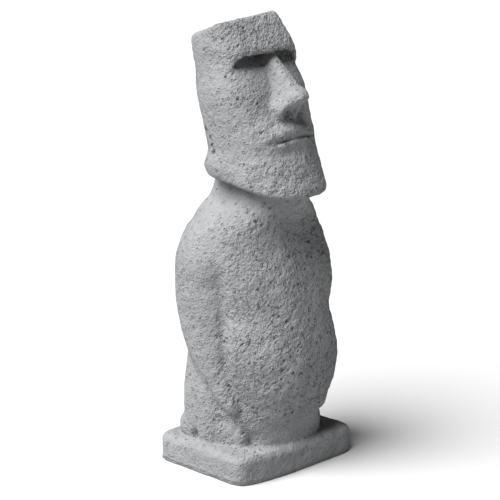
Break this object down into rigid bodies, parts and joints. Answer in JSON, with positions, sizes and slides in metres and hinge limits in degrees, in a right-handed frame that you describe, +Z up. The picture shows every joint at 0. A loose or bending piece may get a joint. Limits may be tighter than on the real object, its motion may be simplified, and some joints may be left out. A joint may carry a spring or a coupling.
{
  "type": "moai statue",
  "caption": "Small cast-cement stone head figure with long face, arms at its sides and a square foot slab in one piece.",
  "frame": {"origin": "middle of the foot slab's flat underside", "axes": "+Z up from the underside to the crown, the face looks along -Y, +X is the figure's left"},
  "size_m": [0.0777, 0.0705, 0.221],
  "materials": {
    "cement": "matte"
  },
  "bodies": {
    "root": {"moai_statue": "cement"}
  },
  "joints": []
}
